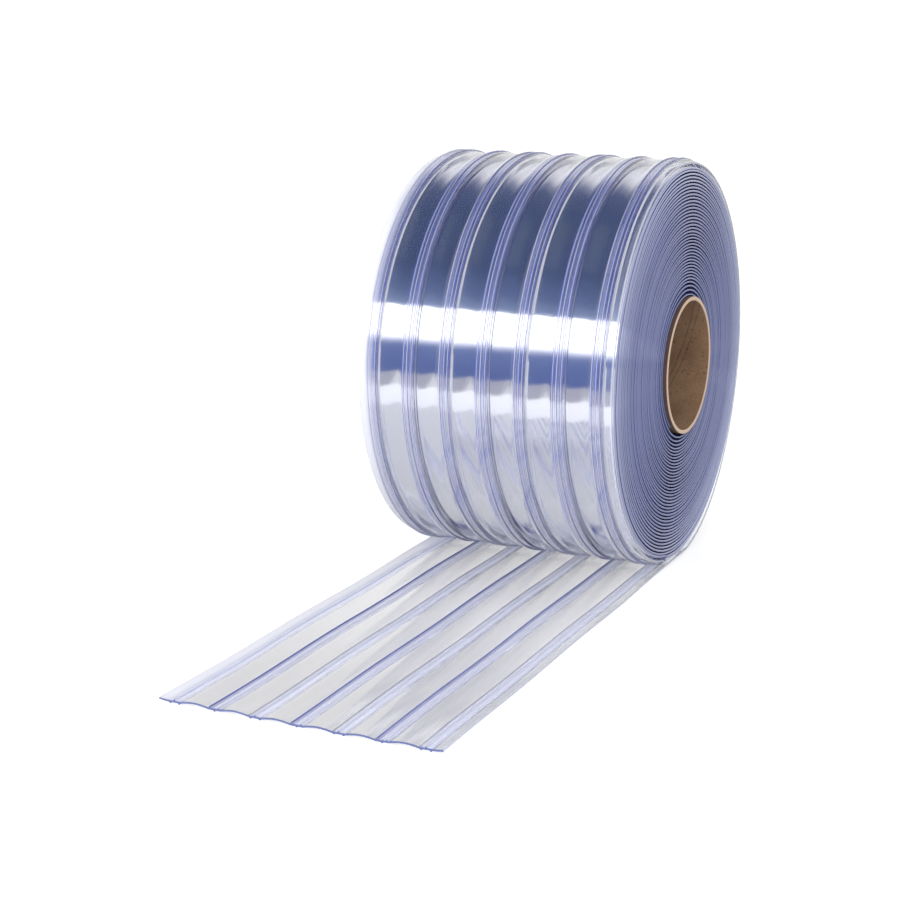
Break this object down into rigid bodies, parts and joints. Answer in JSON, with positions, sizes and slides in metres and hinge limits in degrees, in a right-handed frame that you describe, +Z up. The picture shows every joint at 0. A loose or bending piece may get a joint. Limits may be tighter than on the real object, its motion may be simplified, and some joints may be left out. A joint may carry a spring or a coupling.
{
  "type": "pvc strip curtain roll",
  "caption": "Bulk roll of clear double-ribbed PVC curtain strip wound on a cardboard core, with the loose end lying flat on the floor.",
  "frame": {"origin": "on the floor under the roll's axis, midway across the strip", "axes": "+X along the roll's axis towards the end where the core stands out, -Y along the loose end, +Z up"},
  "size_m": [0.2065, 0.5859, 0.3162],
  "materials": {
    "kraft_board": "matt spiral-wound kraft paper board",
    "pvc_stacked": "clear flexible PVC, blue where many layers stack up",
    "pvc_wrap": "clear glossy flexible PVC with a blue tint",
    "pvc_tongue": "clear glossy flexible PVC, almost colourless in one layer"
  },
  "bodies": {
    "strip_end": {"outer_turn": "pvc_wrap", "loose_tongue": "pvc_tongue"},
    "roll": {"core_tube": "kraft_board", "inner_layers": "pvc_stacked", "wound_loops": "pvc_stacked"}
  },
  "joints": [
    {"name": "roll_turn", "type": "hinge", "parent": "strip_end", "child": "roll", "pos_m": [0, 0, 0.1586], "axis": [1, 0, 0], "range_deg": [0, 120], "deforming": ["loose_tongue"]}
  ]
}
